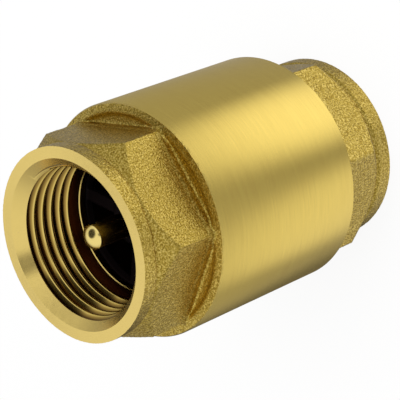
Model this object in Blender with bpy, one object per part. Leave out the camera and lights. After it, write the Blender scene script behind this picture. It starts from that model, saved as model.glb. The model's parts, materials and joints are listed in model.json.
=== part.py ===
"""One inch brass check valve with a sprung, stem guided poppet.

It stands on its inlet end with the flow axis along +Z. Water comes in through the screwed inlet cap,
lifts the poppet off its seat and leaves past the stem at the top. Sizes are in metres.
The pipe threads have flat crests and roots, and the joint thread is a plain spigot in a plain bore.
"""

import math

import bmesh
import bpy
from mathutils import Matrix, Vector

# Roundness of the turned surfaces
segments = 48
inner_segments = 40
small_segments = 30
wire_sides = 6
wire_steps_per_turn = 20
thread_steps_per_turn = 24

# Female pipe thread sockets at both ends
thread_crest_radius = 0.01515
thread_depth = 0.001475
thread_pitch = 0.002309
thread_half_angle = math.radians(27.5)
socket_depth = 0.016
socket_relief_length = 0.0022
socket_relief_extra = 0.0003
mouth_step = 0.000775
end_face_width = 0.0024
socket_wall = 0.002575
ledge_step = 0.00045
ledge_thickness = 0.0016

# Outside, from the inlet end up
inlet_collar_length = 0.0049
inlet_hex_length = 0.0112
cap_flange_length = 0.0009
barrel_length = 0.0398
neck_length = 0.0011
outlet_hex_length = 0.0112
outlet_collar_length = 0.0044
barrel_wall = 0.00275
hex_corner_radius = 0.0014
hex_chamfer_angle = math.radians(42)
hex_chamfer_lift = 0.0002
inlet_hex_turn = math.radians(7)
core_inset = 0.00035
collar_step = 0.0004
annulus_fall = 0.0004
edge_chamfer = 0.0003
barrel_edge_chamfer = 0.0005

# Screwed joint between the body and the inlet cap
joint_gap = 0.0003
joint_thread_step = 0.00055
spigot_length = 0.0095
spigot_lead = 0.0008
seal_section = 0.0016
seal_gap = 0.0003
seal_zone_length = 0.0029
seal_land = 0.0009

# Seat and poppet
seat_bore_radius = 0.01275
throat_length = 0.00195
seat_lip_flat = 0.0008
seat_lip_chamfer = 0.0008
seat_height = 0.0025
seat_wall = 0.0018
piece_gap = 0.0003
seal_overlap = 0.001
seal_thickness = 0.002
seal_hole_radius = 0.0055
poppet_skirt_wall = 0.0008
poppet_skirt_drop = 0.0009
poppet_rim_thickness = 0.0018
poppet_web_thickness = 0.0026
poppet_boss_height = 0.0025
retainer_clearance = 0.00095
retainer_thickness = 0.0018
flow_gap = 0.0036
chamber_cone_length = 0.00245
lift = 0.006

# Stem and its nut
stem_radius = 0.0025
stem_tip_depth = 0.0044
stem_tip_crown = 0.0011
stem_collar_length = 0.0015
stem_thread_radius = 0.002
stem_thread_end = 0.0008
nut_across_flats = 0.007
nut_height = 0.0032

# Stem guide
stem_clearance = 0.00015
guide_hub_wall = 0.0017
guide_rim_length = 0.002
guide_rim_seat = 0.0026
guide_arm_count = 4
guide_arm_width = 0.0026
guide_seat_thickness = 0.0022
guide_nose_length = 0.0022

# Return spring
wire_radius = 0.0005
spring_clearance = 0.0007
spring_rib_clearance = 0.0007
spring_working_turns = 4.5
spring_end_turns = 1
spring_end_pitch_gap = 0.00015

# Levels along the axis, worked out from the inlet end up
inlet_hex_start = inlet_collar_length
inlet_hex_end = inlet_hex_start + inlet_hex_length
cap_flange_top = inlet_hex_end + cap_flange_length
barrel_start = cap_flange_top + joint_gap
barrel_end = barrel_start + barrel_length
outlet_hex_start = barrel_end + neck_length
outlet_hex_end = outlet_hex_start + outlet_hex_length
overall_length = outlet_hex_end + outlet_collar_length

# Radii of the ends, from the thread outwards
thread_root_radius = thread_crest_radius + thread_depth
relief_radius = thread_root_radius + socket_relief_extra
mouth_radius = thread_root_radius + mouth_step
ledge_radius = thread_crest_radius - ledge_step
collar_radius = mouth_radius + end_face_width
hex_apothem = relief_radius + socket_wall
hex_corner_reach = hex_apothem / math.cos(math.pi / 6)
hex_round_reach = hex_corner_reach - hex_corner_radius * (1 / math.cos(math.pi / 6) - 1)
core_radius = hex_apothem - core_inset

# Radii of the middle, from the seat outwards to the barrel
seat_lip_inner = seat_bore_radius + seat_lip_chamfer
seat_lip_outer = seat_lip_inner + seat_lip_flat
poppet_seal_radius = seat_lip_outer + seal_overlap
skirt_inner_radius = poppet_seal_radius + piece_gap
poppet_radius = skirt_inner_radius + poppet_skirt_wall
chamber_radius = poppet_radius + flow_gap
spigot_radius = chamber_radius + joint_thread_step
joint_bore_radius = spigot_radius + joint_gap
seal_groove_radius = spigot_radius - seal_section + seal_gap
seal_inner_radius = seal_groove_radius + seal_gap
seal_outer_radius = seal_inner_radius + seal_section
seal_bore_radius = seal_outer_radius + seal_gap
barrel_radius = seal_bore_radius + barrel_wall

# Radii of the poppet's inner pieces, the guide and the spring
retainer_radius = seat_bore_radius - retainer_clearance
pilot_radius = seal_hole_radius - piece_gap
stem_thread_hole = stem_thread_radius + piece_gap
guide_bore_radius = stem_radius + stem_clearance
guide_hub_radius = guide_bore_radius + guide_hub_wall
spring_inner_radius = guide_hub_radius + spring_clearance
spring_mean_radius = spring_inner_radius + wire_radius
spring_outer_radius = spring_mean_radius + wire_radius
spring_seat_radius = spring_outer_radius + spring_rib_clearance
guide_rim_radius = ledge_radius + guide_rim_seat
guide_counterbore = guide_rim_radius + piece_gap

# Levels of the inner pieces
cap_top = cap_flange_top + spigot_length
seat_level = cap_top + seat_height
seal_bottom = seat_level + piece_gap
seal_top = seal_bottom + seal_thickness
poppet_bottom = seal_top + piece_gap
spring_floor = poppet_bottom + poppet_web_thickness
poppet_top = spring_floor + poppet_boss_height
stem_collar_bottom = poppet_top + piece_gap
stem_collar_top = stem_collar_bottom + stem_collar_length
retainer_top = seal_bottom - piece_gap
retainer_bottom = retainer_top - retainer_thickness
nut_top = retainer_bottom - piece_gap
nut_bottom = nut_top - nut_height
stem_bottom = nut_bottom - stem_thread_end
stem_top = overall_length - stem_tip_depth
ledge_top = overall_length - socket_depth
ledge_bottom = ledge_top - ledge_thickness
guide_top = ledge_bottom - piece_gap
spring_ceiling = guide_top - guide_seat_thickness
guide_hub_bottom = stem_collar_top + lift + piece_gap
counterbore_bottom = guide_top - guide_rim_length
chamber_cone_bottom = counterbore_bottom - chamber_cone_length


def clear_objects():
    for old in list(bpy.data.objects):
        bpy.data.objects.remove(old)


def material(name, colour, metallic, roughness):
    made = bpy.data.materials.new(name)
    made.use_nodes = True
    shader = made.node_tree.nodes["Principled BSDF"]
    shader.inputs["Base Color"].default_value = (*colour, 1)
    shader.inputs["Metallic"].default_value = metallic
    shader.inputs["Roughness"].default_value = roughness
    return made


def object_from(bm, name, finish=None, smooth_angle=math.radians(35)):
    """Close a bmesh into a named object, shaded smooth up to the given angle."""
    mesh = bpy.data.meshes.new(name)
    bmesh.ops.recalc_face_normals(bm, faces=bm.faces)
    bm.to_mesh(mesh)
    bm.free()
    mesh.shade_smooth()
    mesh.set_sharp_from_angle(angle=smooth_angle)
    if finish:
        mesh.materials.append(finish)
    made = bpy.data.objects.new(name, mesh)
    bpy.context.scene.collection.objects.link(made)
    return made


def arc(centre_r, centre_z, radius, start, end, steps):
    """Points of a round stretch of a profile, with its angles in degrees from +R towards +Z."""
    points = []
    for step in range(steps + 1):
        angle = math.radians(start + (end - start) * step / steps)
        points.append((centre_r + radius * math.cos(angle), centre_z + radius * math.sin(angle)))
    return points


def turned(profile, around=segments):
    """A bmesh turned about +Z from a closed profile of (radius, height) points."""
    bm = bmesh.new()
    points = [bm.verts.new((radius, 0, height)) for radius, height in profile]
    edges = [bm.edges.new((points[i - 1], points[i])) for i in range(len(points))]
    on_axis = [e for e in edges if all(v.co.x < 1e-9 for v in e.verts)]
    bmesh.ops.delete(bm, geom=on_axis, context="EDGES")
    bmesh.ops.spin(
        bm,
        geom=bm.verts[:] + bm.edges[:],
        cent=(0, 0, 0),
        axis=(0, 0, 1),
        angle=math.tau,
        steps=around,
        use_duplicate=False,
    )
    bmesh.ops.remove_doubles(bm, verts=bm.verts[:], dist=1e-7)
    return bm


def prism(sides, apothem, bottom, top, turn=0.0, edge_radius=0.0):
    """A bmesh of a regular prism with a corner towards +X, turned about +Z, with rounded upright edges."""
    bm = bmesh.new()
    bmesh.ops.create_cone(
        bm,
        cap_ends=True,
        segments=sides,
        radius1=apothem / math.cos(math.pi / sides),
        radius2=apothem / math.cos(math.pi / sides),
        depth=top - bottom,
        matrix=Matrix.Translation((0, 0, (top + bottom) / 2)),
    )
    corner = max(bm.verts, key=lambda v: v.co.x)
    lead = math.atan2(corner.co.y, corner.co.x)
    bmesh.ops.rotate(bm, verts=bm.verts, matrix=Matrix.Rotation(turn - lead, 3, "Z"))
    if edge_radius:
        upright = [e for e in bm.edges if abs(e.verts[0].co.z - e.verts[1].co.z) > (top - bottom) / 2]
        bmesh.ops.bevel(
            bm,
            geom=upright,
            offset=edge_radius * math.tan(math.pi / sides),
            offset_type="OFFSET",
            segments=3,
            profile=0.5,
            affect="EDGES",
        )
    return bm


def cutter(bm, name):
    made = object_from(bm, name)
    made.hide_render = True
    made.display_type = "WIRE"
    return made


def boolean(target, tool, operation):
    step = target.modifiers.new(tool.name, "BOOLEAN")
    step.operation = operation
    step.solver = "EXACT"
    step.object = tool


def wrench_hexagon(name, flats_from, flats_to, collar_side, turn):
    """Hexagon of one end, its corners cut by a cone from the collar on collar_side (1 above, -1 below)."""
    reach = hex_corner_reach + edge_chamfer
    overlap = collar_step + hex_chamfer_lift
    low, high = (flats_from, flats_to + overlap) if collar_side > 0 else (flats_from - overlap, flats_to)
    blank = cutter(prism(6, hex_apothem, low, high, turn, hex_corner_radius), name)
    collar_level = flats_to if collar_side > 0 else flats_from
    cone_foot = collar_level + collar_side * hex_chamfer_lift
    cone_run = (reach - collar_radius) / math.tan(hex_chamfer_angle)
    inner_run = (collar_radius - relief_radius) / math.tan(hex_chamfer_angle)
    far_level = (low if collar_side > 0 else high) - collar_side * edge_chamfer
    envelope = cutter(
        turned(
            [
                (0, far_level),
                (reach, far_level),
                (reach, cone_foot - collar_side * cone_run),
                (relief_radius, cone_foot + collar_side * inner_run),
                (0, cone_foot + collar_side * inner_run),
            ]
        ),
        name + "_envelope",
    )
    boolean(blank, envelope, "INTERSECT")
    return blank


def thread_tap(name, bottom, top):
    """A right hand screw with flat crests and roots, cut off level and half a facet out of step."""
    flank_rise = thread_depth * math.tan(thread_half_angle)
    flat = thread_pitch / 2 - flank_rise
    start = bottom - thread_pitch * 2 - flat / 2
    profile = [
        (thread_root_radius, 0),
        (thread_root_radius, flat),
        (thread_crest_radius, flat + flank_rise),
        (thread_crest_radius, flat * 2 + flank_rise),
        (thread_root_radius, thread_pitch),
    ]
    turns = math.ceil((top - bottom) / thread_pitch) + 3
    bm = bmesh.new()
    points = [bm.verts.new((radius, 0, start + rise)) for radius, rise in profile]
    for low, high in zip(points, points[1:]):
        bm.edges.new((low, high))
    bmesh.ops.spin(
        bm,
        geom=bm.verts[:] + bm.edges[:],
        cent=(0, 0, 0),
        axis=(0, 0, 1),
        dvec=(0, 0, thread_pitch / thread_steps_per_turn),
        angle=math.tau * turns,
        steps=thread_steps_per_turn * turns,
        use_duplicate=False,
    )
    bmesh.ops.remove_doubles(bm, verts=bm.verts[:], dist=1e-6)
    bmesh.ops.rotate(bm, verts=bm.verts, matrix=Matrix.Rotation(math.pi / segments, 3, "Z"))
    for level, outward in ((bottom, -1), (top, 1)):
        bmesh.ops.bisect_plane(
            bm,
            geom=bm.verts[:] + bm.edges[:] + bm.faces[:],
            plane_co=(0, 0, level),
            plane_no=(0, 0, outward),
            clear_outer=True,
        )
    bmesh.ops.holes_fill(bm, edges=[e for e in bm.edges if e.is_boundary])
    bmesh.ops.triangulate(bm, faces=bm.faces[:])
    return cutter(bm, name)


def socket_bore(mouth_level, side):
    """Profile points of a pipe socket from its mouth to its ledge; side is 1 where the mouth faces up."""
    depth = [
        (mouth_radius, -edge_chamfer * 2),
        (mouth_radius, 0),
        (ledge_radius, mouth_radius - ledge_radius),
        (ledge_radius, socket_depth - socket_relief_length),
        (relief_radius, socket_depth - socket_relief_length + socket_relief_extra),
        (relief_radius, socket_depth),
        (ledge_radius, socket_depth),
    ]
    return [(radius, mouth_level - side * down) for radius, down in depth]


def make_valve_body(brass):
    outline = [
        (0, barrel_start),
        (barrel_radius - barrel_edge_chamfer, barrel_start),
        (barrel_radius, barrel_start + barrel_edge_chamfer),
        (barrel_radius, barrel_end),
        (hex_round_reach, barrel_end + annulus_fall),
        (core_radius, barrel_end + annulus_fall),
        (core_radius, outlet_hex_end - collar_step),
        (collar_radius, outlet_hex_end),
        (collar_radius, overall_length - edge_chamfer),
        (collar_radius - edge_chamfer, overall_length),
        (0, overall_length),
    ]
    body = object_from(turned(outline), "valve_body", brass)
    boolean(body, wrench_hexagon("outlet_hexagon", outlet_hex_start, outlet_hex_end, 1, 0.0), "UNION")
    bore = [
        (0, overall_length + edge_chamfer * 2),
        *socket_bore(overall_length, 1),
        (ledge_radius, ledge_bottom),
        (guide_counterbore, ledge_bottom),
        (guide_counterbore, counterbore_bottom),
        (chamber_radius, chamber_cone_bottom),
        (chamber_radius, cap_top + joint_gap),
        (joint_bore_radius, cap_top + joint_gap - (joint_bore_radius - chamber_radius)),
        (joint_bore_radius, barrel_start + seal_zone_length),
        (seal_bore_radius, barrel_start + seal_zone_length - (seal_bore_radius - joint_bore_radius)),
        (seal_bore_radius, barrel_start + edge_chamfer),
        (seal_bore_radius + edge_chamfer * 2, barrel_start - edge_chamfer),
        (0, barrel_start - edge_chamfer),
    ]
    boolean(body, cutter(turned(bore), "body_bore"), "DIFFERENCE")
    relief_middle = ledge_top + socket_relief_length / 2
    boolean(body, thread_tap("outlet_tap", relief_middle, overall_length + edge_chamfer), "DIFFERENCE")
    return body


def make_inlet_cap(brass):
    groove_low = barrel_start + seal_land
    groove_high = groove_low + seal_section + seal_gap * 2
    nozzle_radius = seat_lip_outer + seat_wall / 2
    outline = [
        (0, 0),
        (collar_radius - edge_chamfer, 0),
        (collar_radius, edge_chamfer),
        (collar_radius, inlet_hex_start),
        (core_radius, inlet_hex_start + collar_step),
        (core_radius, inlet_hex_end - edge_chamfer),
        (hex_round_reach, inlet_hex_end),
        (hex_round_reach, cap_flange_top),
        (spigot_radius, cap_flange_top),
        (spigot_radius, groove_low),
        (seal_groove_radius, groove_low),
        (seal_groove_radius, groove_high),
        (spigot_radius, groove_high),
        (spigot_radius, cap_top - spigot_lead),
        (spigot_radius - spigot_lead, cap_top),
        (nozzle_radius + seat_wall / 2, cap_top),
        (nozzle_radius, cap_top + seat_wall / 2),
        (nozzle_radius, seat_level - (nozzle_radius - seat_lip_outer)),
        (seat_lip_outer, seat_level),
        (seat_lip_inner, seat_level),
        (0, seat_level),
    ]
    cap = object_from(turned(outline), "inlet_cap", brass)
    hexagon = wrench_hexagon("inlet_hexagon", inlet_hex_start, inlet_hex_end, -1, inlet_hex_turn)
    boolean(cap, hexagon, "UNION")
    bore = [
        (0, -edge_chamfer * 2),
        *socket_bore(0, -1),
        (seat_bore_radius, socket_depth + throat_length),
        (seat_bore_radius, seat_level - seat_lip_chamfer),
        (seat_lip_inner, seat_level),
        (seat_lip_inner, seat_level + edge_chamfer),
        (0, seat_level + edge_chamfer),
    ]
    boolean(cap, cutter(turned(bore), "cap_bore"), "DIFFERENCE")
    relief_middle = socket_depth - socket_relief_length / 2
    boolean(cap, thread_tap("inlet_tap", -edge_chamfer, relief_middle), "DIFFERENCE")
    return cap


def make_cap_seal(rubber):
    middle = barrel_start + seal_land + seal_gap + seal_section / 2
    ring = arc(seal_inner_radius + seal_section / 2, middle, seal_section / 2, 0, 315, 7)
    return object_from(turned(ring, inner_segments), "cap_o_ring", rubber)


def make_stem(brass):
    """Turned rod with a domed tip, a thrust collar over the poppet and a thinner threaded end."""
    ball = (stem_radius ** 2 + stem_tip_crown ** 2) / (2 * stem_tip_crown)
    half = math.degrees(math.asin(stem_radius / ball))
    dome = arc(0, stem_top - ball, ball, 90 - half, 90, 5)
    lead = stem_thread_radius / 4
    profile = [
        (0, stem_bottom),
        (stem_thread_radius - lead, stem_bottom),
        (stem_thread_radius, stem_bottom + lead),
        (stem_thread_radius, stem_collar_bottom),
        (guide_hub_radius, stem_collar_bottom),
        (guide_hub_radius, stem_collar_top - edge_chamfer),
        (guide_hub_radius - edge_chamfer, stem_collar_top),
        (stem_radius, stem_collar_top),
        *dome,
    ]
    return object_from(turned(profile, small_segments), "stem", brass)


def make_poppet_disc(plastic):
    rib_top = spring_floor + wire_radius * 2
    rim_top = poppet_bottom + poppet_rim_thickness
    rib_outer = spring_seat_radius + poppet_skirt_wall
    profile = [
        (stem_thread_hole, seal_bottom),
        (pilot_radius, seal_bottom),
        (pilot_radius, poppet_bottom),
        (skirt_inner_radius, poppet_bottom),
        (skirt_inner_radius, poppet_bottom - poppet_skirt_drop),
        (poppet_radius, poppet_bottom - poppet_skirt_drop),
        (poppet_radius, rim_top - edge_chamfer),
        (poppet_radius - edge_chamfer, rim_top),
        (rib_outer, rib_top),
        (spring_seat_radius, rib_top),
        (spring_seat_radius, spring_floor),
        (guide_hub_radius, spring_floor),
        (guide_hub_radius, poppet_top - edge_chamfer),
        (guide_hub_radius - edge_chamfer, poppet_top),
        (stem_thread_hole, poppet_top),
    ]
    return object_from(turned(profile, inner_segments), "poppet_disc", plastic)


def washer(name, inner, outer, bottom, top, finish):
    profile = [
        (inner, bottom),
        (outer - edge_chamfer, bottom),
        (outer, bottom + edge_chamfer),
        (outer, top - edge_chamfer),
        (outer - edge_chamfer, top),
        (inner, top),
    ]
    return object_from(turned(profile, inner_segments), name, finish)


def make_stem_nut(brass):
    nut = object_from(prism(6, nut_across_flats / 2, nut_bottom, nut_top), "stem_nut", brass)
    reach = nut_across_flats / 2 / math.cos(math.pi / 6) + piece_gap
    bite = reach - nut_across_flats / 2
    barrel = [
        (0, nut_bottom),
        (reach - bite, nut_bottom),
        (reach, nut_bottom + bite / 2),
        (reach, nut_top - bite / 2),
        (reach - bite, nut_top),
        (0, nut_top),
    ]
    rounding = cutter(turned(barrel, small_segments), "nut_rounding")
    boolean(nut, rounding, "INTERSECT")
    hole = [
        (0, nut_bottom - piece_gap),
        (stem_thread_hole, nut_bottom - piece_gap),
        (stem_thread_hole, nut_top + piece_gap),
        (0, nut_top + piece_gap),
    ]
    boolean(nut, cutter(turned(hole, small_segments), "nut_hole"), "DIFFERENCE")
    return nut


def guide_arm(index):
    """One tapered arm from the hub out into the rim, deeper at the hub."""
    inner = guide_hub_radius
    outer = ledge_radius + guide_rim_seat / 2
    half = guide_arm_width / 2
    top = guide_top - edge_chamfer
    depths = ((inner, spring_ceiling + edge_chamfer), (outer, guide_top - guide_rim_length + edge_chamfer))
    bm = bmesh.new()
    ends = []
    for radius, bottom in depths:
        corners = ((-half, bottom), (half, bottom), (half, top), (-half, top))
        ends.append([bm.verts.new((radius, across, level)) for across, level in corners])
    bm.faces.new(ends[0])
    bm.faces.new(reversed(ends[1]))
    for i in range(4):
        j = (i + 1) % 4
        bm.faces.new((ends[0][i], ends[1][i], ends[1][j], ends[0][j]))
    angle = math.tau * (index + 0.5) / guide_arm_count
    bmesh.ops.rotate(bm, verts=bm.verts, matrix=Matrix.Rotation(angle, 3, "Z"))
    return cutter(bm, f"guide_arm_{index}")


def make_stem_guide(plastic):
    """Moulded spider: a rim under the body's ledge, arms, and a hub tube that the stem slides in."""
    rim_bottom = guide_top - guide_rim_length
    rim = [
        (ledge_radius, rim_bottom),
        (guide_rim_radius - edge_chamfer, rim_bottom),
        (guide_rim_radius, rim_bottom + edge_chamfer),
        (guide_rim_radius, guide_top),
        (ledge_radius, guide_top),
    ]
    guide = object_from(turned(rim), "stem_guide", plastic)
    for index in range(guide_arm_count):
        boolean(guide, guide_arm(index), "UNION")
    nose_top = guide_top + guide_nose_length
    hub = [
        (0, guide_hub_bottom),
        (guide_hub_radius, guide_hub_bottom),
        (guide_hub_radius, spring_ceiling),
        (spring_seat_radius, spring_ceiling),
        (spring_seat_radius, guide_top - edge_chamfer),
        (guide_hub_radius, nose_top),
        (0, nose_top),
    ]
    boolean(guide, cutter(turned(hub, small_segments), "guide_hub"), "UNION")
    bore = [
        (0, guide_hub_bottom - piece_gap),
        (guide_bore_radius, guide_hub_bottom - piece_gap),
        (guide_bore_radius, nose_top + piece_gap),
        (0, nose_top + piece_gap),
    ]
    boolean(guide, cutter(turned(bore, small_segments), "guide_bore"), "DIFFERENCE")
    return guide


def coil_height(turn, working_pitch, end_pitch):
    """Rise of the wire's centre after a number of turns, close wound over the end turns."""
    turns = spring_end_turns * 2 + spring_working_turns
    from_start = min(turn, spring_end_turns)
    working = min(max(turn - spring_end_turns, 0), spring_working_turns)
    to_end = max(turn - (turns - spring_end_turns), 0)
    return (from_start + to_end) * end_pitch + working * working_pitch


def make_spring(steel):
    bottom = spring_floor + piece_gap + wire_radius
    top = spring_ceiling - piece_gap - wire_radius
    end_pitch = wire_radius * 2 + spring_end_pitch_gap
    working_pitch = (top - bottom - 2 * spring_end_turns * end_pitch) / spring_working_turns
    turns = spring_end_turns * 2 + spring_working_turns
    count = round(turns * wire_steps_per_turn)
    bm = bmesh.new()
    rings = []
    for step in range(count + 1):
        turn = turns * step / count
        around = Matrix.Rotation(math.tau * turn, 3, "Z")
        centre = Vector((spring_mean_radius, 0, bottom + coil_height(turn, working_pitch, end_pitch)))
        ring = []
        for side in range(wire_sides):
            angle = math.tau * side / wire_sides
            offset = Vector((wire_radius * math.cos(angle), 0, wire_radius * math.sin(angle)))
            ring.append(bm.verts.new(around @ (centre + offset)))
        rings.append(ring)
    for low, high in zip(rings, rings[1:]):
        for side in range(wire_sides):
            following = (side + 1) % wire_sides
            bm.faces.new((low[side], low[following], high[following], high[side]))
    bm.faces.new(reversed(rings[0]))
    bm.faces.new(rings[-1])
    return object_from(bm, "spring", steel, math.radians(75))


def slide_empty(poppet_pieces):
    """Carry the moving pieces on an empty that lies on the slide axis."""
    carrier = bpy.data.objects.new("poppet_slide", None)
    bpy.context.scene.collection.objects.link(carrier)
    for piece in poppet_pieces:
        piece.parent = carrier


def main():
    clear_objects()
    brass = material("brass", (0.78, 0.60, 0.27), 1.0, 0.3)
    bright_brass = material("bright_brass", (0.86, 0.70, 0.36), 1.0, 0.15)
    acetal = material("black_acetal", (0.015, 0.015, 0.016), 0.0, 0.45)
    nitrile = material("nitrile_rubber", (0.02, 0.02, 0.02), 0.0, 0.7)
    steel = material("stainless_steel", (0.62, 0.61, 0.59), 1.0, 0.25)
    make_valve_body(brass)
    make_inlet_cap(brass)
    make_cap_seal(nitrile)
    make_stem_guide(acetal)
    make_spring(steel)
    slide_empty(
        [
            make_stem(bright_brass),
            make_poppet_disc(acetal),
            washer("seat_seal", seal_hole_radius, poppet_seal_radius, seal_bottom, seal_top, nitrile),
            washer("seal_retainer", stem_thread_hole, retainer_radius, retainer_bottom, retainer_top, bright_brass),
            make_stem_nut(bright_brass),
        ]
    )


main()
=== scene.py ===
# %% [markdown]
# # A brass check valve, finished like its photograph
# This lesson dresses a one inch check valve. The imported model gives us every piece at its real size
# and place, with the poppet and its stem free to slide. We keep that frame and make the surfaces:
# forged hexagons with a blasted grain, a turned barrel with fine lathe lines, cut pipe threads and
# bright turned pieces inside. All lengths are in metres, and +Z runs from the inlet to the outlet.

import json
import math

import bmesh
import bpy
from mathutils import Matrix, Vector

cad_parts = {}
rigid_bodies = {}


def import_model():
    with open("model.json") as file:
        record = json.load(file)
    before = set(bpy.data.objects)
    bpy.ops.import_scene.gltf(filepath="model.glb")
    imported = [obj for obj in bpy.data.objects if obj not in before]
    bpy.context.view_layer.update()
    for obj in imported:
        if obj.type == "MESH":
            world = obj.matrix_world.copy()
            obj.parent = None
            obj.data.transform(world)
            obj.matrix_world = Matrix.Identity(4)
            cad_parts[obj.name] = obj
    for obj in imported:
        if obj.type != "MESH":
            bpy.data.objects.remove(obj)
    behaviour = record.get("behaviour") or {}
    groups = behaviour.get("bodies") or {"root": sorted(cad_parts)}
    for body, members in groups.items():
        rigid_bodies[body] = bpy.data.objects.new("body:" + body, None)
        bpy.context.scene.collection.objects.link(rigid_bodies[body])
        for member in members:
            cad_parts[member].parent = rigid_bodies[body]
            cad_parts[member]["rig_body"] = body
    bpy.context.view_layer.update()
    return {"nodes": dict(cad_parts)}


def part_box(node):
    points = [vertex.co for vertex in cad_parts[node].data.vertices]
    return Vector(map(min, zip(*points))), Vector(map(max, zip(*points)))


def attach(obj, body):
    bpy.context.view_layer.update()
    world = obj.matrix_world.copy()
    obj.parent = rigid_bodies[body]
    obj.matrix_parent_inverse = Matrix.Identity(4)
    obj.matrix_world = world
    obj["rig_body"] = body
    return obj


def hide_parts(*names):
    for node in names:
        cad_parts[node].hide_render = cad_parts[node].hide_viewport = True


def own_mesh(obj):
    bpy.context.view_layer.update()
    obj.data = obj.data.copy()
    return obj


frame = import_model()
nodes = frame["nodes"]
MM = 0.001
body_low, body_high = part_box("valve_body")
barrel_radius = body_high.x
outlet_face = body_high.z
print("frame loaded:", len(nodes), "pieces, the outlet face is at", round(outlet_face / MM, 1), "mm")

# %% [markdown]
# ## The camera
# The photograph looks down into the outlet from one side, with the valve's axis slanting to the lower
# left. We fitted that view to points read off the photograph's outlines, as three directions: which
# way right, up and back towards the camera point in the valve's own frame. Turning those into a
# rotation matrix gives the camera's roll too, which no aim-at-the-middle helper would.

# %% Place the camera
right_of_view = Vector((-0.4676, -0.5618, -0.6820))
up_of_view = Vector((0.8760, -0.3949, -0.2750))
back_of_view = right_of_view.cross(up_of_view).normalized()
face_right, face_up, face_back = 1.0157, 0.3623, 15.0
lens_length = 170.6

camera_data = bpy.data.cameras.new("photo_camera")
camera_data.lens = lens_length
camera_data.clip_start = 0.01
camera_data.clip_end = 10.0
camera = bpy.data.objects.new("photo_camera", camera_data)
bpy.context.scene.collection.objects.link(camera)
bpy.context.scene.camera = camera
reach = right_of_view * face_right + up_of_view * face_up + back_of_view * face_back
camera.matrix_world = Matrix.Translation(Vector((0, 0, outlet_face)) + reach * barrel_radius) @ Matrix(
    (right_of_view, up_of_view, back_of_view)
).transposed().to_4x4()
bpy.context.scene.view_settings.view_transform = "Standard"
print("camera", [round(v, 4) for v in camera.location], "lens", lens_length, "mm")

# %% [markdown]
# ## Soft studio light
# Polished brass shows whatever stands round it. So the valve stands in a dim tent with three broad soft
# panels: a key panel on one side of the camera, a weaker fill panel on the other, and one overhead. A
# dark flag hangs behind, another high up, and the lens looks in through a dark hole. The camera's own
# rays see plain white, mirror rays see the tent, and rays that light matt surfaces see an even white.

# %% Helpers for the surroundings
def number(tree, operation, first, second):
    """A Math node; each operand is a number or another node's output."""
    made = tree.nodes.new("ShaderNodeMath")
    made.operation = operation
    for socket, value in zip(made.inputs, (first, second)):
        if isinstance(value, (int, float)):
            socket.default_value = value
        else:
            tree.links.new(value, socket)
    return made.outputs[0]


def seen_directly(tree):
    """1 for the rays that look at the backdrop: from the camera, a reflection or through glass."""
    path = tree.nodes.new("ShaderNodeLightPath")
    first = number(tree, "MAXIMUM", path.outputs["Is Camera Ray"], path.outputs["Is Glossy Ray"])
    return number(tree, "MAXIMUM", first, path.outputs["Is Transmission Ray"])


def direction(azimuth, elevation):
    """A unit vector from two angles in degrees."""
    turn, rise = math.radians(azimuth), math.radians(elevation)
    return Vector((math.cos(rise) * math.cos(turn), math.cos(rise) * math.sin(turn), math.sin(rise)))


def soft_patch(tree, ray, towards, inner, outer, level):
    """1 away from a direction, changing softly to a level between outer and inner degrees of it."""
    nearness = tree.nodes.new("ShaderNodeVectorMath")
    nearness.operation = "DOT_PRODUCT"
    nearness.inputs[1].default_value = towards
    tree.links.new(ray, nearness.inputs[0])
    fade = tree.nodes.new("ShaderNodeMapRange")
    fade.interpolation_type = "SMOOTHSTEP"
    fade.inputs["From Min"].default_value = math.cos(math.radians(outer))
    fade.inputs["From Max"].default_value = math.cos(math.radians(inner))
    fade.inputs["To Min"].default_value = 1.0
    fade.inputs["To Max"].default_value = level
    tree.links.new(nearness.outputs["Value"], fade.inputs["Value"])
    return fade.outputs["Result"]


# %% The tent's panels and flags
# Each has its azimuth and elevation, the degrees from there at which its soft edge begins and ends, and
# how many times as bright as the cloth it is. The camera stands at azimuth 261.
cloth_level = 0.5
light_colour = (0.8, 0.85, 1.0, 1)
key_panel = (295, -40, 10, 35, 3.5)
fill_panel = (200, -40, 15, 35, 2.4)
top_panel = (0, 90, 50, 80, 2.2)
back_flag = (110, -40, 10, 30, 0.15)
high_flag = (15, 65, 25, 30, 0.05)
lens_hole = (261, 45, 10, 14, 0.05)
panels_and_flags = (key_panel, fill_panel, top_panel, back_flag, high_flag, lens_hole)

# %% The surroundings
ambient_strength = 0.85
world = bpy.data.worlds.new("studio")
bpy.context.scene.world = world
world.use_nodes = True
world.cycles.sampling_method = "NONE"
tree = world.node_tree
tree.nodes.clear()
ray = tree.nodes.new("ShaderNodeTexCoord").outputs["Generated"]
strength = cloth_level
for azimuth, elevation, inner, outer, level in panels_and_flags:
    patch = soft_patch(tree, ray, direction(azimuth, elevation), inner, outer, level)
    strength = number(tree, "MULTIPLY", patch, strength)
tent = tree.nodes.new("ShaderNodeBackground")
tent.inputs["Color"].default_value = light_colour
tree.links.new(strength, tent.inputs["Strength"])
white = tree.nodes.new("ShaderNodeBackground")
white.inputs["Strength"].default_value = 1.0
ambient = tree.nodes.new("ShaderNodeBackground")
ambient.inputs["Strength"].default_value = ambient_strength
path = tree.nodes.new("ShaderNodeLightPath")


def chosen(choice, otherwise, when_true):
    """A Mix Shader between two backgrounds."""
    made = tree.nodes.new("ShaderNodeMixShader")
    tree.links.new(choice, made.inputs[0])
    tree.links.new(otherwise, made.inputs[1])
    tree.links.new(when_true, made.inputs[2])
    return made.outputs[0]


backdrop = chosen(path.outputs["Is Camera Ray"], tent.outputs[0], white.outputs[0])
output = tree.nodes.new("ShaderNodeOutputWorld")
tree.links.new(chosen(seen_directly(tree), ambient.outputs[0], backdrop), output.inputs["Surface"])
print("tent with", len(panels_and_flags), "panels and flags")

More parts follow.
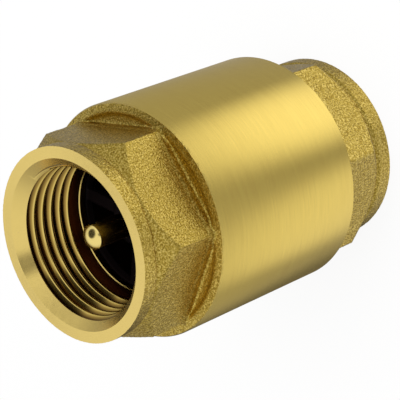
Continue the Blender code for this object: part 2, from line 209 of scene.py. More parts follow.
# %% [markdown]
# ## The floor
# The valve stands on a sheet of white paper lit like the tent. Mirror rays pass the sheet and meet the
# tent below it, as they would on a light table, and one soft lamp overhead leaves a faint shadow.

# %% Floor and lamp
floor_size = 6.0
floor_glow = 0.9
paper_white = (0.95, 0.95, 0.95, 1)
bpy.ops.object.select_all(action="DESELECT")
bpy.ops.mesh.primitive_plane_add(size=floor_size, location=(0, 0, 0))
floor = bpy.context.object
floor.name = "floor"
floor.visible_glossy = False
paper = bpy.data.materials.new("white_paper")
paper.use_nodes = True
tree = paper.node_tree
sheet = tree.nodes["Principled BSDF"]
sheet.inputs["Base Color"].default_value = paper_white
sheet.inputs["Roughness"].default_value = 0.9
glow = tree.nodes.new("ShaderNodeEmission")
glow.inputs["Strength"].default_value = 1.0
choose = tree.nodes.new("ShaderNodeMixShader")
tree.links.new(number(tree, "MULTIPLY", seen_directly(tree), floor_glow), choose.inputs[0])
tree.links.new(sheet.outputs[0], choose.inputs[1])
tree.links.new(glow.outputs[0], choose.inputs[2])
tree.links.new(choose.outputs[0], tree.nodes["Material Output"].inputs["Surface"])
floor.data.materials.append(paper)

lamp_distance = 0.7
lamp_azimuth, lamp_elevation = 300, 60
lamp_size = 0.5
lamp_power = 3.0
lamp_data = bpy.data.lights.new("overhead_box", "AREA")
lamp_data.size = lamp_size
lamp_data.energy = lamp_power
lamp = bpy.data.objects.new("overhead_box", lamp_data)
lamp.location = direction(lamp_azimuth, lamp_elevation) * lamp_distance
lamp.rotation_euler = (-lamp.location).to_track_quat("-Z", "Y").to_euler()
lamp.visible_camera = False
lamp.visible_glossy = False
bpy.context.scene.collection.objects.link(lamp)
print("floor and overhead lamp ready")

# %% [markdown]
# ## Finishes
# Every finish is one material made from noise on Object coordinates, so a pattern stays put when the
# camera or a piece moves. The brass is one alloy everywhere. What differs is how a tool left it:
# blasted after forging, brushed by the lathe's insert, or bright where a thread was cut. The bores and
# the thread's roots are painted darker than the alloy, as painted shade.


# %% Helpers for materials
def new_finish(name, colour, metallic, roughness):
    """A Principled material; returns it with its node tree and shader."""
    made = bpy.data.materials.new(name)
    made.use_nodes = True
    tree = made.node_tree
    shader = tree.nodes["Principled BSDF"]
    shader.inputs["Base Color"].default_value = (*colour, 1)
    shader.inputs["Metallic"].default_value = metallic
    shader.inputs["Roughness"].default_value = roughness
    return made, tree, shader


def stretched_noise(tree, scale, stretch=(1, 1, 1), detail=3.0, rough=0.55):
    """Noise on Object coordinates, drawn out along an axis by a Mapping node."""
    place = tree.nodes.new("ShaderNodeTexCoord")
    mapping = tree.nodes.new("ShaderNodeMapping")
    mapping.inputs["Scale"].default_value = stretch
    noise = tree.nodes.new("ShaderNodeTexNoise")
    noise.inputs["Scale"].default_value = scale
    noise.inputs["Detail"].default_value = detail
    noise.inputs["Roughness"].default_value = rough
    tree.links.new(place.outputs["Object"], mapping.inputs["Vector"])
    tree.links.new(mapping.outputs["Vector"], noise.inputs["Vector"])
    return noise.outputs["Fac"]


def ramp(tree, value, stops):
    """A colour ramp read from a value; stops are (place, colour)."""
    made = tree.nodes.new("ShaderNodeValToRGB")
    tree.links.new(value, made.inputs["Fac"])
    while len(made.color_ramp.elements) < len(stops):
        made.color_ramp.elements.new(0.5)
    for element, (place, colour) in zip(made.color_ramp.elements, stops):
        element.position = place
        element.color = (*colour, 1)
    return made.outputs["Color"]


def spread(tree, value, low, high):
    """Remaps a 0..1 value to low..high."""
    made = tree.nodes.new("ShaderNodeMapRange")
    made.inputs["To Min"].default_value = low
    made.inputs["To Max"].default_value = high
    tree.links.new(value, made.inputs["Value"])
    return made.outputs["Result"]


def bump(tree, shader, value, depth, strength=1.0):
    """Feeds a height into the shader's normal."""
    made = tree.nodes.new("ShaderNodeBump")
    made.inputs["Strength"].default_value = strength
    made.inputs["Distance"].default_value = depth
    tree.links.new(value, made.inputs["Height"])
    tree.links.new(made.outputs["Normal"], shader.inputs["Normal"])


def tool_marks(tree, shader, amount):
    """Stretches the highlights across marks that run round the Z axis, as a lathe leaves them."""
    shader.inputs["Anisotropic"].default_value = amount
    shader.inputs["Anisotropic Rotation"].default_value = 0.25
    around = tree.nodes.new("ShaderNodeTangent")
    around.direction_type = "RADIAL"
    around.axis = "Z"
    tree.links.new(around.outputs["Tangent"], shader.inputs["Tangent"])


# %% Forged brass
forged_pit = (0.34, 0.205, 0.022)
forged_mean = (0.54, 0.36, 0.052)
forged_peak = (0.84, 0.60, 0.14)
grain_size = 0.33 * MM

forged, tree, shader = new_finish("forged_brass", forged_mean, 1.0, 0.42)
grain = stretched_noise(tree, 1 / grain_size, detail=2.5)
cloud = stretched_noise(tree, 1 / (5 * MM), detail=2.0)
grain_colour = ramp(tree, grain, [(0.36, forged_pit), (0.5, forged_mean), (0.64, forged_peak)])
tree.links.new(grain_colour, shader.inputs["Base Color"])
tree.links.new(spread(tree, cloud, 0.28, 0.4), shader.inputs["Roughness"])
bump(tree, shader, grain, 0.16 * MM, 1.0)

# %% Turned, faced, bored and threaded brass
turned_brass, tree, shader = new_finish("turned_brass", (0.88, 0.615, 0.13), 1.0, 0.24)
tool_marks(tree, shader, 1.0)
lines = stretched_noise(tree, 120.0, (1, 1, 40), detail=4.0, rough=0.7)
lines_colour = ramp(tree, lines, [(0.35, (0.84, 0.58, 0.12)), (0.65, (0.92, 0.65, 0.14))])
tree.links.new(lines_colour, shader.inputs["Base Color"])
bump(tree, shader, lines, 0.01 * MM, 0.3)

faced_brass, tree, shader = new_finish("faced_brass", (0.86, 0.61, 0.16), 1.0, 0.25)
tool_marks(tree, shader, 0.7)
haze = stretched_noise(tree, 900.0, detail=2.0)
tree.links.new(spread(tree, haze, 0.2, 0.3), shader.inputs["Roughness"])
bump(tree, shader, haze, 0.01 * MM, 0.3)

# The bored brass is painted far darker than the alloy: painted shade for the deep insides of the valve.
bored_brass_painted_shade, tree, shader = new_finish("bored_brass_painted_shade", (0.17, 0.075, 0.025), 1.0, 0.3)
tool_marks(tree, shader, 0.6)
haze = stretched_noise(tree, 900.0, detail=2.0)
tree.links.new(spread(tree, haze, 0.25, 0.35), shader.inputs["Roughness"])

# The thread's colour goes from brass on its crests to near black in its roots, by the distance from
# the axis: painted shade in the roots.
crest_place = 15.2 * MM
root_depth = 1.4 * MM
threaded_brass, tree, shader = new_finish("threaded_brass", (0.58, 0.385, 0.08), 1.0, 0.16)
place = tree.nodes.new("ShaderNodeTexCoord")
apart = tree.nodes.new("ShaderNodeSeparateXYZ")
tree.links.new(place.outputs["Object"], apart.inputs[0])
x_square = number(tree, "POWER", apart.outputs["X"], 2)
y_square = number(tree, "POWER", apart.outputs["Y"], 2)
from_axis = number(tree, "POWER", number(tree, "ADD", x_square, y_square), 0.5)
into_root = number(tree, "DIVIDE", number(tree, "SUBTRACT", from_axis, crest_place), root_depth)
painted_root_shade = [(0.04, (0.82, 0.58, 0.14)), (0.25, (0.42, 0.26, 0.05)), (0.62, (0.10, 0.05, 0.012))]
tree.links.new(ramp(tree, into_root, painted_root_shade), shader.inputs["Base Color"])
haze = stretched_noise(tree, 900.0, detail=2.0)
tree.links.new(spread(tree, haze, 0.12, 0.2), shader.inputs["Roughness"])

bright_brass, tree, shader = new_finish("bright_brass", (0.94, 0.70, 0.20), 1.0, 0.2)
haze = stretched_noise(tree, 700.0, detail=2.0)
tree.links.new(spread(tree, haze, 0.15, 0.25), shader.inputs["Roughness"])

# %% Plastic, rubber and wire
acetal, tree, shader = new_finish("black_acetal", (0.005, 0.003, 0.003), 0.0, 0.55)
shader.inputs["Specular IOR Level"].default_value = 0.06
haze = stretched_noise(tree, 1500.0, detail=2.0)
tree.links.new(spread(tree, haze, 0.5, 0.62), shader.inputs["Roughness"])
bump(tree, shader, haze, 0.01 * MM, 0.3)

nitrile, tree, shader = new_finish("nitrile_rubber", (0.018, 0.018, 0.019), 0.0, 0.7)
haze = stretched_noise(tree, 1200.0, detail=3.0)
tree.links.new(spread(tree, haze, 0.62, 0.8), shader.inputs["Roughness"])
bump(tree, shader, haze, 0.02 * MM, 0.4)

steel, tree, shader = new_finish("spring_steel", (0.55, 0.54, 0.52), 1.0, 0.22)
haze = stretched_noise(tree, 1500.0, detail=2.0)
tree.links.new(spread(tree, haze, 0.18, 0.3), shader.inputs["Roughness"])
print("finishes:", [m.name for m in bpy.data.materials])

# %% [markdown]
# ## A lathe made of extrudes
# Most of this valve is turned. By hand you would add a disc, extrude it up to the next shoulder and
# scale the new ring to its radius, again and again. This helper does exactly that for a list of
# (radius, level) points, and it serves for solids as well as for the cutters that bore them out.

# %% Turning helpers
rounds = 160
barrel_rounds = 192
forging_rounds = 96
inner_rounds = 128
stem_rounds = 96
bore_rounds = 64
bevel_steps = 3
overshoot = 1 * MM


def deselect():
    bpy.ops.object.select_all(action="DESELECT")


def take(piece):
    """Makes a piece the only selected and the active one."""
    deselect()
    piece.select_set(True)
    bpy.context.view_layer.objects.active = piece


def settle(piece):
    """Puts the object's place into its mesh, so that the object sits at the origin."""
    take(piece)
    bpy.ops.object.transform_apply(location=True, rotation=True, scale=True)


def lathe(name, finish, profile, around=rounds):
    """A closed turned solid, extruded ring by ring from a disc."""
    radius, level = profile[0]
    deselect()
    bpy.ops.mesh.primitive_circle_add(
        vertices=around, radius=radius, fill_type="NGON", location=(0, 0, level)
    )
    piece = bpy.context.object
    piece.name = piece.data.name = name
    bpy.ops.object.mode_set(mode="EDIT")
    for next_radius, next_level in profile[1:]:
        bpy.ops.mesh.extrude_region_move(TRANSFORM_OT_translate={"value": (0, 0, next_level - level)})
        grow = next_radius / radius
        bpy.ops.transform.resize(value=(grow, grow, 1), center_override=(0, 0, next_level))
        radius, level = next_radius, next_level
    bpy.ops.mesh.select_all(action="SELECT")
    bpy.ops.mesh.normals_make_consistent(inside=False)
    bpy.ops.object.mode_set(mode="OBJECT")
    settle(piece)
    piece.data.materials.append(finish)
    return piece


def combine(piece, tool, operation):
    """Applies a Boolean with another solid, whose finish stays on the faces it makes, and removes it."""
    take(piece)
    step = piece.modifiers.new(operation.lower(), "BOOLEAN")
    step.operation = operation
    step.solver = "EXACT"
    step.material_mode = "TRANSFER"
    step.object = tool
    bpy.ops.object.modifier_apply(modifier=step.name)
    bpy.data.objects.remove(tool)


def drill(piece, finish, radius, low, high, around=rounds):
    """Bores a piece right through along the Z axis."""
    bit = lathe("drill", finish, [(radius, low - overshoot), (radius, high + overshoot)], around)
    combine(piece, bit, "DIFFERENCE")


def ease_edges(piece, width):
    """Rounds the sharp edges of a piece with a narrow bevel."""
    take(piece)
    bevel = piece.modifiers.new("eased edges", "BEVEL")
    bevel.width = width
    bevel.segments = bevel_steps
    bevel.limit_method = "ANGLE"
    bevel.angle_limit = math.radians(35)
    bpy.ops.object.modifier_apply(modifier=bevel.name)


def hand_over(piece, node, angle=38):
    """Smooths the shading up to an angle, reports the mesh and lets the piece stand for its node."""
    take(piece)
    bpy.ops.object.shade_smooth_by_angle(angle=math.radians(angle))
    mesh = bmesh.new()
    mesh.from_mesh(piece.data)
    open_edges = sum(1 for edge in mesh.edges if not edge.is_manifold)
    triangles = sum(len(face.verts) - 2 for face in mesh.faces)
    mesh.free()
    print(piece.name, "stands for", node, "with", triangles, "triangles,", open_edges, "open edges")
    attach(piece, nodes[node]["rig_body"])
    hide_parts(node)


def span(node):
    """Lowest level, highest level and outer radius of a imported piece."""
    low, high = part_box(node)
    return low.z, high.z, high.x


# %% [markdown]
# ## The threads
# Both ends carry a one inch parallel pipe thread: 2.309 mm pitch, flanks 55 degrees apart, crests and
# roots rounded. A tap cuts it on the real valve, so we make a tap too. Its profile is one pitch long,
# drawn by extruding a single point, and the Screw modifier winds it up. Two bisects with fill cut the
# winding to a closed solid that a Boolean can take away from the bore. A bisect pulls in points within
# a tenth of a millimetre of its plane unless told otherwise, which would crumple the ends of so fine a
# thread, so we give it a much smaller tolerance.

# %% The tap
thread_pitch = 2.309 * MM
thread_root = 16.625 * MM
thread_crest = 15.15 * MM
thread_rounding = 0.317 * MM
half_flank_angle = math.radians(27.5)
steps_per_turn = 120
spare_turns = 2
merge_distance = 0.001 * MM
cut_tolerance = 0.0001 * MM


def thread_profile():
    """(radius, rise) points over one pitch of the tap, from tip to tip."""
    tangent_rise = thread_rounding * math.cos(half_flank_angle)
    tangent_drop = thread_rounding * (1 - math.sin(half_flank_angle))
    half_rise = tangent_rise / 2
    half_drop = thread_rounding - math.sqrt(thread_rounding ** 2 - half_rise ** 2)
    half = thread_pitch / 2
    tip = [
        (thread_root, 0),
        (thread_root - half_drop, half_rise),
        (thread_root - tangent_drop, tangent_rise),
    ]
    valley = [
        (thread_crest + tangent_drop, half - tangent_rise),
        (thread_crest + half_drop, half - half_rise),
        (thread_crest, half),
    ]
    rising = tip + valley
    falling = [(radius, thread_pitch - rise) for radius, rise in reversed(rising[:-1])]
    return rising + falling


def make_tap(name, low, high):
    """A solid screw between two levels."""
    profile = thread_profile()
    start = low - spare_turns * thread_pitch
    deselect()
    bpy.ops.mesh.primitive_plane_add(size=MM, location=(profile[0][0], 0, start))
    tap = bpy.context.object
    tap.name = tap.data.name = name
    bpy.ops.object.mode_set(mode="EDIT")
    bpy.ops.mesh.merge(type="CENTER")
    for (radius, rise), (next_radius, next_rise) in zip(profile, profile[1:]):
        step = (next_radius - radius, 0, next_rise - rise)
        bpy.ops.mesh.extrude_region_move(TRANSFORM_OT_translate={"value": step})
    bpy.ops.object.mode_set(mode="OBJECT")
    settle(tap)
    winding = tap.modifiers.new("winding", "SCREW")
    winding.axis = "Z"
    winding.screw_offset = thread_pitch
    winding.iterations = math.ceil((high - low) / thread_pitch) + spare_turns + 1
    winding.steps = winding.render_steps = steps_per_turn
    bpy.ops.object.modifier_apply(modifier=winding.name)
    bpy.ops.object.mode_set(mode="EDIT")
    bpy.ops.mesh.select_all(action="SELECT")
    bpy.ops.mesh.remove_doubles(threshold=merge_distance)
    for level, keep_above in ((low, True), (high, False)):
        bpy.ops.mesh.select_all(action="SELECT")
        bpy.ops.mesh.bisect(
            plane_co=(0, 0, level),
            plane_no=(0, 0, 1),
            use_fill=True,
            clear_inner=keep_above,
            clear_outer=not keep_above,
            threshold=cut_tolerance,
        )
    bpy.ops.mesh.select_all(action="SELECT")
    bpy.ops.mesh.normals_make_consistent(inside=False)
    bpy.ops.object.mode_set(mode="OBJECT")
    tap.data.materials.clear()
    tap.data.materials.append(threaded_brass)
    return tap


# %% [markdown]
# ## A forged end
# Each end starts as a hot forging: a wrench hexagon whose corners run out in a cone, a round collar
# for the pipe face and a flange behind, with a low ridge just behind the hexagon. Blocks joined by
# Booleans have knife edges, and no forging has. So the joined blank is remeshed into small even cells,
# smoothed until its edges and inner corners are soft, and its points are jittered along their normals
# for the blasted grain.

# %% Sizes of the forged ends
hex_apothem = 19.5 * MM
hex_corner_radius = 0.9 * MM
hex_length = 11.2 * MM
cone_angle = math.radians(42)
cone_lift = 0.2 * MM
collar_radius = 19.8 * MM
core_radius = 19.15 * MM
flange_radius = 22.3 * MM
ridge_width = 0.2 * MM
ridge_rise = 0.15 * MM
ridge_depth = 1.5 * MM
ridge_corner_radius = 2.5 * MM
recess_depth = 0.7 * MM
collar_foot = 0.9 * MM
collar_slope = 0.4 * MM
hexagon_overlap = 0.6 * MM
allowance = 0.6 * MM


def corner_edges(piece, height):
    """Selects the upright edges of a prism in edit mode."""
    bpy.ops.mesh.select_all(action="DESELECT")
    mesh = bmesh.from_edit_mesh(piece.data)
    for edge in mesh.edges:
        edge.select = abs(edge.verts[0].co.z - edge.verts[1].co.z) > height / 2
    mesh.select_flush_mode()
    bmesh.update_edit_mesh(piece.data)


def hexagon(name, finish, apothem, low, high, turn=0.0, corner_radius=0.0):
    """A hexagonal prism with a corner towards +X, its upright edges rounded."""
    deselect()
    bpy.ops.mesh.primitive_cylinder_add(
        vertices=6,
        radius=apothem / math.cos(math.pi / 6),
        depth=high - low,
        location=(0, 0, (low + high) / 2),
        rotation=(0, 0, math.radians(30) + turn),
    )
    blank = bpy.context.object
    blank.name = blank.data.name = name
    settle(blank)
    blank.data.materials.append(finish)
    if corner_radius:
        bpy.ops.object.mode_set(mode="EDIT")
        corner_edges(blank, high - low)
        bpy.ops.mesh.bevel(offset=corner_radius * math.tan(math.pi / 6), segments=4, affect="EDGES")
        bpy.ops.object.mode_set(mode="OBJECT")
    return blank


def forged_end(name, face, side, collar_length, turn, shank):
    """Collar, hexagon and shank of one end. side is 1 where the face looks up; shank is its profile."""
    near = face - side * collar_length
    far = near - side * hex_length
    levels = sorted((near + side * hexagon_overlap, far))
    blank = hexagon(name, forged, hex_apothem, *levels, turn, hex_corner_radius)
    slope = math.tan(cone_angle)
    foot = near + side * cone_lift
    wide = hex_apothem / math.cos(math.pi / 6) + overshoot
    narrow = collar_radius - 3 * MM
    cone = lathe(
        name + "_cone",
        forged,
        [
            (wide, far - side * overshoot),
            (wide, foot - side * (wide - collar_radius) / slope),
            (narrow, foot + side * (collar_radius - narrow) / slope),
        ],
        forging_rounds,
    )
    combine(blank, cone, "INTERSECT")
    core = lathe(
        name + "_core",
        forged,
        [
            *shank,
            (core_radius, near + side * collar_foot),
            (collar_radius, near + side * (collar_foot + collar_slope)),
            (collar_radius, face + side * allowance),
        ],
        forging_rounds,
    )
    combine(blank, core, "UNION")
    levels = sorted((far + side * ridge_rise, far - side * ridge_depth))
    ridge_apothem = hex_apothem + ridge_width
    ridge = hexagon(name + "_ridge", forged, ridge_apothem, *levels, turn, ridge_corner_radius)
    combine(blank, ridge, "UNION")
    return blank


smoothing = 0.5


def soften(blank, cell, passes, jitter, seed):
    """Remesh, smooth and roughen a blank; jitter 0 leaves it smooth like a moulding."""
    take(blank)
    cells = blank.modifiers.new("cells", "REMESH")
    cells.mode = "VOXEL"
    cells.voxel_size = cell
    bpy.ops.object.modifier_apply(modifier=cells.name)
    ease = blank.modifiers.new("ease", "SMOOTH")
    ease.factor = smoothing
    ease.iterations = passes
    bpy.ops.object.modifier_apply(modifier=ease.name)
    if jitter:
        bpy.ops.object.mode_set(mode="EDIT")
        bpy.ops.mesh.select_all(action="SELECT")
        bpy.ops.transform.vertex_random(offset=jitter, uniform=0.0, normal=1.0, seed=seed)
        bpy.ops.mesh.vertices_smooth(factor=smoothing, repeat=1)
        bpy.ops.object.mode_set(mode="OBJECT")


forging_cell = 0.25 * MM
forging_passes = 2
forging_jitter = 0.06 * MM
body_seed = 3
cap_seed = 5

# %% [markdown]
# ## The valve body
# The forging gets its turned barrel: we join an oversize bar, then take the lathe cut round it, which
# leaves the brushed finish and the crisp edge against the forged shoulder. Facing, boring and tapping
# follow in the order of the workshop, and each cutter leaves its own material behind, the bore's and
# the thread's with painted shade.

# %% Levels of the body
barrel_low = body_low.z
outlet_collar = 4.4 * MM
outlet_far = outlet_face - outlet_collar - hex_length
neck_length = 0.7 * MM
shoulder_lip = 0.4 * MM
shoulder = outlet_far - neck_length
barrel_high = shoulder - shoulder_lip
stock = barrel_radius + allowance
print("barrel from", round(barrel_low / MM, 2), "to", round(barrel_high / MM, 2), "mm")

# %% Forge the body and join the bar
body = forged_end(
    "valve_body_finish",
    outlet_face,
    1,
    outlet_collar,
    0.0,
    [
        (barrel_radius - 2 * MM, barrel_high - 2.4 * MM),
        (stock, barrel_high - 2 * MM),
        (stock, barrel_high - 0.1 * MM),
        (flange_radius, shoulder),
        (flange_radius - recess_depth, shoulder - recess_depth),
        (core_radius, shoulder - recess_depth),
    ],
)
soften(body, forging_cell, forging_passes, forging_jitter, body_seed)
bar_radius = stock + 0.2 * MM
bar_ends = (barrel_low - overshoot, barrel_high - overshoot)
bar = lathe("bar", turned_brass, [(bar_radius, level) for level in bar_ends])
combine(body, bar, "UNION")

# %% Turn the barrel and face both ends
barrel_chamfer = 0.5 * MM
edge = 0.35 * MM
edge_inset = edge * 0.7
cut_clearance = 3 * MM
waste_overlap = 1.2 * MM
outside = stock + cut_clearance
face_clearance = collar_radius + 2 * MM
waste_ends = (barrel_low - cut_clearance, barrel_high + waste_overlap)
waste = lathe("waste", turned_brass, [(outside, level) for level in waste_ends])
keep = lathe(
    "keep",
    turned_brass,
    [
        (barrel_radius - barrel_chamfer, barrel_low - 4 * MM),
        (barrel_radius - barrel_chamfer, barrel_low),
        (barrel_radius, barrel_low + barrel_chamfer),
        (barrel_radius, barrel_high - edge),
        (barrel_radius - edge_inset, barrel_high + 0.05 * MM),
        (barrel_radius - edge_inset, barrel_high + 2 * MM),
    ],
    barrel_rounds,
)
combine(waste, keep, "DIFFERENCE")
combine(body, waste, "DIFFERENCE")
back_ends = (barrel_low - cut_clearance, barrel_low)
back_waste = lathe("back_waste", faced_brass, [(outside, level) for level in back_ends])
combine(body, back_waste, "DIFFERENCE")
front_ends = (outlet_face, outlet_face + cut_clearance)
front_waste = lathe("front_waste", faced_brass, [(face_clearance, level) for level in front_ends])
combine(body, front_waste, "DIFFERENCE")

# %% Sizes of the bores
mouth_radius = 17.4 * MM
relief_radius = 16.925 * MM
relief_length = 2.2 * MM
socket_depth = 16 * MM
ledge_radius = 14.7 * MM
ledge_easing = 0.16 * MM
thread_start = 1.6 * MM
gap = 0.3 * MM


def open_mouth(piece, face, side):
    """Cuts the wide lead-in chamfer at the mouth of a pipe socket."""
    deep = mouth_radius - ledge_radius
    profile = [(ledge_radius, face - side * deep), (mouth_radius + overshoot, face + side * overshoot)]
    combine(piece, lathe("mouth_cutter", faced_brass, profile), "DIFFERENCE")


def ease_ledge(piece, face, side):
    """Breaks the inner edge of the ledge with a narrow bright chamfer."""
    ledge = face - side * socket_depth
    profile = [
        (ledge_radius - ledge_easing, ledge - side * 2 * ledge_easing),
        (ledge_radius + 2 * ledge_easing, ledge + side * ledge_easing),
    ]
    combine(piece, lathe("edge_cutter", faced_brass, profile), "DIFFERENCE")


def socket(face, side):
    """Profile of a pipe socket's bore, from outside its mouth in to its ledge."""
    depths = [
        (ledge_radius, -overshoot),
        (ledge_radius, socket_depth - relief_length),
        (relief_radius, socket_depth - relief_length + gap),
        (relief_radius, socket_depth),
        (ledge_radius, socket_depth),
    ]
    return [(radius, face - side * down) for radius, down in depths]


# %% Bore and tap the body
cap_high = span("inlet_cap")[1]
guide_low, guide_high, guide_radius = span("stem_guide")
lip_height = 2.5 * MM
guide_nose_length = 2.2 * MM
guide_rim_length = 2 * MM
spigot_top = cap_high - lip_height
guide_top = guide_high - guide_nose_length
chamber_top = guide_top - 4.45 * MM
chamber_radius = 20.05 * MM
joint_bore = 20.9 * MM
joint_bore_top = spigot_top - 0.55 * MM
joint_lead = 21.5 * MM
joint_mouth = 22.1 * MM
bore = lathe(
    "bore",
    bored_brass_painted_shade,
    [
        *socket(outlet_face, 1),
        (ledge_radius, guide_top + gap),
        (guide_radius + gap, guide_top + gap),
        (guide_radius + gap, guide_top - guide_rim_length),
        (chamber_radius, chamber_top),
        (chamber_radius, spigot_top + gap),
        (joint_bore, joint_bore_top),
        (joint_bore, barrel_low + 2.9 * MM),
        (joint_lead, barrel_low + 2.3 * MM),
        (joint_lead, barrel_low + gap),
        (joint_mouth, barrel_low - gap),
    ],
)
combine(body, bore, "DIFFERENCE")
open_mouth(body, outlet_face, 1)
ease_ledge(body, outlet_face, 1)
tap_low = outlet_face - socket_depth + relief_length / 2
combine(body, make_tap("outlet_tap", tap_low, outlet_face - thread_start), "DIFFERENCE")
hand_over(body, "valve_body")

# %% [markdown]
# ## The inlet cap
# The far end is the same forging turned over, its hexagon seven degrees out of step because a screwed
# joint stops where it stops. Behind it comes the spigot with the groove of its seal, and the raised
# seat that the poppet closes on.

# %% Forge the cap
inlet_collar = 4.9 * MM
inlet_turn = math.radians(7)
cap_flange_length = 0.9 * MM
inlet_far = inlet_collar + hex_length
flange_top = inlet_far + cap_flange_length
cap = forged_end(
    "inlet_cap_finish",
    0.0,
    -1,
    inlet_collar,
    inlet_turn,
    [(flange_radius, flange_top + 0.5 * MM), (flange_radius, inlet_far), (core_radius, inlet_far)],
)
soften(cap, forging_cell, forging_passes, forging_jitter, cap_seed)

# %% Turn its faces and spigot
foot_waste = lathe("foot_waste", faced_brass, [(face_clearance, -cut_clearance), (face_clearance, 0)])
combine(cap, foot_waste, "DIFFERENCE")
flange_ends = (flange_top, flange_top + cut_clearance)
flange_waste = lathe("flange_waste", faced_brass, [(outside, level) for level in flange_ends])
combine(cap, flange_waste, "DIFFERENCE")
spigot_radius = 20.6 * MM
groove_radius = 19.3 * MM
groove_offset = 1.2 * MM
groove_length = 2.2 * MM
groove_low = flange_top + groove_offset
groove_high = groove_low + groove_length
spigot_chamfer = 0.8 * MM
lip_radius = 14.35 * MM
lip_wall = 0.9 * MM
spigot = lathe(
    "spigot",
    bored_brass_painted_shade,
    [
        (spigot_radius, flange_top - overshoot),
        (spigot_radius, groove_low),
        (groove_radius, groove_low),
        (groove_radius, groove_high),
        (spigot_radius, groove_high),
        (spigot_radius, spigot_top - spigot_chamfer),
        (spigot_radius - spigot_chamfer, spigot_top),
        (lip_radius + 1.8 * MM, spigot_top),
        (lip_radius + lip_wall, spigot_top + lip_wall),
        (lip_radius + lip_wall, cap_high - lip_wall),
        (lip_radius, cap_high),
    ],
)
combine(cap, spigot, "UNION")

# %% Bore and tap the cap
seat_bore = 12.75 * MM
cap_bore = lathe(
    "cap_bore",
    bored_brass_painted_shade,
    [
        *socket(0.0, -1),
        (seat_bore, socket_depth + 1.95 * MM),
        (seat_bore, cap_high - 0.8 * MM),
        (seat_bore + 1.4 * MM, cap_high + 0.6 * MM),
    ],
)
combine(cap, cap_bore, "DIFFERENCE")
open_mouth(cap, 0.0, -1)
ease_ledge(cap, 0.0, -1)
combine(cap, make_tap("inlet_tap", thread_start, socket_depth - relief_length / 2), "DIFFERENCE")
hand_over(cap, "inlet_cap")

# %% [markdown]
# ## The stem and what it carries
# The stem is a turned rod with a domed tip. It carries the plastic disc, the rubber ring that closes
# on the seat, a thick washer behind the rubber and a nut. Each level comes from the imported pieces, so
# the stack seats as it does in the frame.

# %% Stem
stem_radius = 2.5 * MM
stem_thread = 2.0 * MM
stem_chamfer = 0.5 * MM
stem_collar_length = 1.5 * MM
tip_crown = 1.1 * MM
stem_low, stem_high, stem_collar = span("stem")
disc_low, disc_high, disc_radius = span("poppet_disc")
collar_low = disc_high + gap
collar_high = collar_low + stem_collar_length
ball = (stem_radius ** 2 + tip_crown ** 2) / (2 * tip_crown)
tip_steps = 10
tip_angle = math.asin(stem_radius / ball)
tip = []
for step in range(tip_steps):
    angle = tip_angle * (1 - step / tip_steps)
    tip.append((ball * math.sin(angle), stem_high - ball + ball * math.cos(angle)))
tip.append((0.05 * MM, stem_high))
stem = lathe(
    "stem_finish",
    bright_brass,
    [
        (stem_thread - stem_chamfer, stem_low),
        (stem_thread, stem_low + stem_chamfer),
        (stem_thread, collar_low),
        (stem_collar, collar_low),
        (stem_collar, collar_high - gap),
        (stem_collar - gap, collar_high),
        (stem_radius, collar_high),
        *tip,
    ],
    stem_rounds,
)
hand_over(stem, "stem", angle=30)

# %% Poppet disc
seal_low, seal_high, seal_radius = span("seat_seal")
web_low = seal_high + gap
spring_floor = web_low + 2.6 * MM
hub_radius = 4.35 * MM
spring_pocket = 6.75 * MM
spigot_of_disc = 5.2 * MM
disc_rim_drop = 0.9 * MM
disc = lathe(
    "poppet_disc_finish",
    acetal,
    [
        (spigot_of_disc, disc_low),
        (spigot_of_disc, web_low),
        (seal_radius + gap, web_low),
        (seal_radius + gap, web_low - disc_rim_drop),
        (disc_radius, web_low - disc_rim_drop),
        (disc_radius, web_low + 1.5 * MM),
        (disc_radius - gap, web_low + 1.8 * MM),
        (spring_pocket + 0.8 * MM, spring_floor + 1 * MM),
        (spring_pocket, spring_floor + 1 * MM),
        (spring_pocket, spring_floor),
        (hub_radius, spring_floor),
        (hub_radius, disc_high - gap),
        (hub_radius - gap, disc_high),
    ],
    inner_rounds,
)
drill(disc, acetal, stem_thread + gap, disc_low, disc_high, bore_rounds)
ease_edges(disc, 0.12 * MM)
hand_over(disc, "poppet_disc")

# %% Seal, retainer and nut
seal_bore = 5.5 * MM
ring_easing = 0.25 * MM
seal_ends = [(seal_radius, seal_low), (seal_radius, seal_high)]
seal = lathe("seat_seal_finish", nitrile, seal_ends, inner_rounds)
drill(seal, nitrile, seal_bore, seal_low, seal_high, bore_rounds)
ease_edges(seal, ring_easing)
hand_over(seal, "seat_seal")

washer_low, washer_high, washer_radius = span("seal_retainer")
washer_ends = [(washer_radius, washer_low), (washer_radius, washer_high)]
retainer = lathe("seal_retainer_finish", bright_brass, washer_ends, inner_rounds)
drill(retainer, bright_brass, stem_thread + gap, washer_low, washer_high, bore_rounds)
ease_edges(retainer, ring_easing)
hand_over(retainer, "seal_retainer")

nut_low, nut_high = span("stem_nut")[:2]
nut_half = 3.5 * MM
nut_chamfer_width = 0.9 * MM
nut_chamfer_height = 0.45 * MM
nut = hexagon("stem_nut_finish", bright_brass, nut_half, nut_low, nut_high)
chamfers = lathe(
    "nut_chamfers",
    bright_brass,
    [
        (nut_half, nut_low),
        (nut_half + nut_chamfer_width, nut_low + nut_chamfer_height),
        (nut_half + nut_chamfer_width, nut_high - nut_chamfer_height),
        (nut_half, nut_high),
    ],
    bore_rounds,
)
combine(nut, chamfers, "INTERSECT")
drill(nut, bright_brass, stem_thread + gap, nut_low, nut_high, bore_rounds)
hand_over(nut, "stem_nut", angle=25)

# %% [markdown]
# ## The guide
# The guide is one moulding: a rim under the body's ledge, four arms, and a tube that the stem slides
# in. Joined blocks are remeshed and smoothed once more, this time without grain, and the bore is
# drilled last so that it stays true.

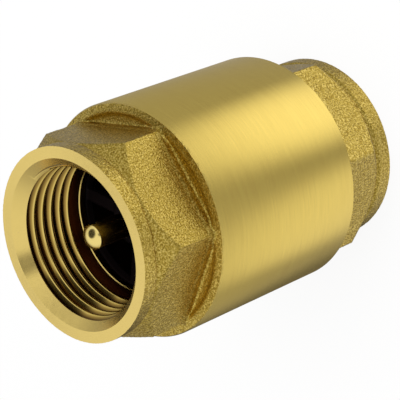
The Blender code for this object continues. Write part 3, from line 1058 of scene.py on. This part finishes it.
# %% Stem guide
guide_seat_thickness = 2.2 * MM
spring_ceiling = guide_top - guide_seat_thickness
rim_low = guide_top - guide_rim_length
arm_width = 2.6 * MM
arm_count = 4
arm_rim_overlap = 1.3 * MM
guide_passes = 3
stem_clearance = 0.15 * MM
guide = lathe(
    "stem_guide_finish",
    acetal,
    [(guide_radius - gap, rim_low), (guide_radius, rim_low + gap), (guide_radius, guide_top)],
)
drill(guide, acetal, ledge_radius, rim_low, guide_top)
for index in range(arm_count):
    inner, outer = hub_radius - overshoot, ledge_radius + arm_rim_overlap
    low, high = rim_low + gap, guide_top - gap
    deselect()
    bpy.ops.mesh.primitive_cube_add(
        size=1,
        location=((inner + outer) / 2, 0, (low + high) / 2),
        scale=(outer - inner, arm_width, high - low),
    )
    arm = bpy.context.object
    settle(arm)
    arm.rotation_euler.z = math.tau * (index + 0.5) / arm_count
    settle(arm)
    arm.data.materials.append(acetal)
    combine(guide, arm, "UNION")
hub = lathe(
    "guide_hub",
    acetal,
    [
        (hub_radius, guide_low),
        (hub_radius, spring_ceiling),
        (spring_pocket, spring_ceiling),
        (spring_pocket, guide_top - gap),
        (hub_radius, guide_high),
    ],
    bore_rounds,
)
combine(guide, hub, "UNION")
soften(guide, forging_cell, guide_passes, 0.0, 0)
drill(guide, acetal, stem_radius + stem_clearance, guide_low, guide_high, bore_rounds)
hand_over(guide, "stem_guide")

# %% [markdown]
# ## Ring and spring
# The joint's seal is a plain torus. The spring is a circle of wire that the Screw modifier winds in
# three stretches: a close end turn, the open working turns and a close end turn again.

# %% O-ring
ring_low, ring_high, ring_reach = span("cap_o_ring")
ring_section = (ring_high - ring_low) / 2
deselect()
bpy.ops.mesh.primitive_torus_add(
    major_radius=ring_reach - ring_section,
    minor_radius=ring_section,
    major_segments=inner_rounds,
    minor_segments=20,
    location=(0, 0, (ring_low + ring_high) / 2),
)
ring = bpy.context.object
ring.name = ring.data.name = "cap_o_ring_finish"
settle(ring)
ring.data.materials.append(nitrile)
hand_over(ring, "cap_o_ring")

# %% Return spring
wire = 0.5 * MM
wire_rounds = 16
end_coil_gap = 0.15 * MM
coil_merge_distance = 0.01 * MM
spring_low, spring_high, spring_reach = span("spring")
coil_radius = spring_reach - wire
working_turns = 4.5
end_pitch = 2 * wire + end_coil_gap
working_pitch = (spring_high - spring_low - 2 * wire - 2 * end_pitch) / working_turns
steps_of_coil = 40


def stretch_of_coil(name, turns, pitch, first_turn, level):
    """An open tube wound for some turns from a circle of wire."""
    deselect()
    bpy.ops.mesh.primitive_circle_add(
        vertices=wire_rounds,
        radius=wire,
        location=(coil_radius, 0, level),
        rotation=(math.radians(90), 0, 0),
    )
    piece = bpy.context.object
    piece.name = piece.data.name = name
    settle(piece)
    piece.rotation_euler.z = math.tau * first_turn
    settle(piece)
    winding = piece.modifiers.new("winding", "SCREW")
    winding.axis = "Z"
    winding.angle = math.tau * turns
    winding.screw_offset = pitch * turns
    winding.iterations = 1
    winding.steps = winding.render_steps = round(steps_of_coil * turns)
    bpy.ops.object.modifier_apply(modifier=winding.name)
    return piece


start = spring_low + wire
spring = stretch_of_coil("spring_finish", 1, end_pitch, 0, start)
middle = stretch_of_coil("middle", working_turns, working_pitch, 0, start + end_pitch)
last = start + end_pitch + working_turns * working_pitch
top = stretch_of_coil("top", 1, end_pitch, working_turns, last)
take(spring)
middle.select_set(True)
top.select_set(True)
bpy.ops.object.join()
bpy.ops.object.mode_set(mode="EDIT")
bpy.ops.mesh.select_all(action="SELECT")
bpy.ops.mesh.remove_doubles(threshold=coil_merge_distance)
bpy.ops.mesh.select_all(action="SELECT")
bpy.ops.mesh.fill_holes(sides=wire_rounds)
bpy.ops.mesh.select_all(action="SELECT")
bpy.ops.mesh.normals_make_consistent(inside=False)
bpy.ops.object.mode_set(mode="OBJECT")
spring.data.materials.append(steel)
hand_over(spring, "spring", angle=60)
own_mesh(spring)
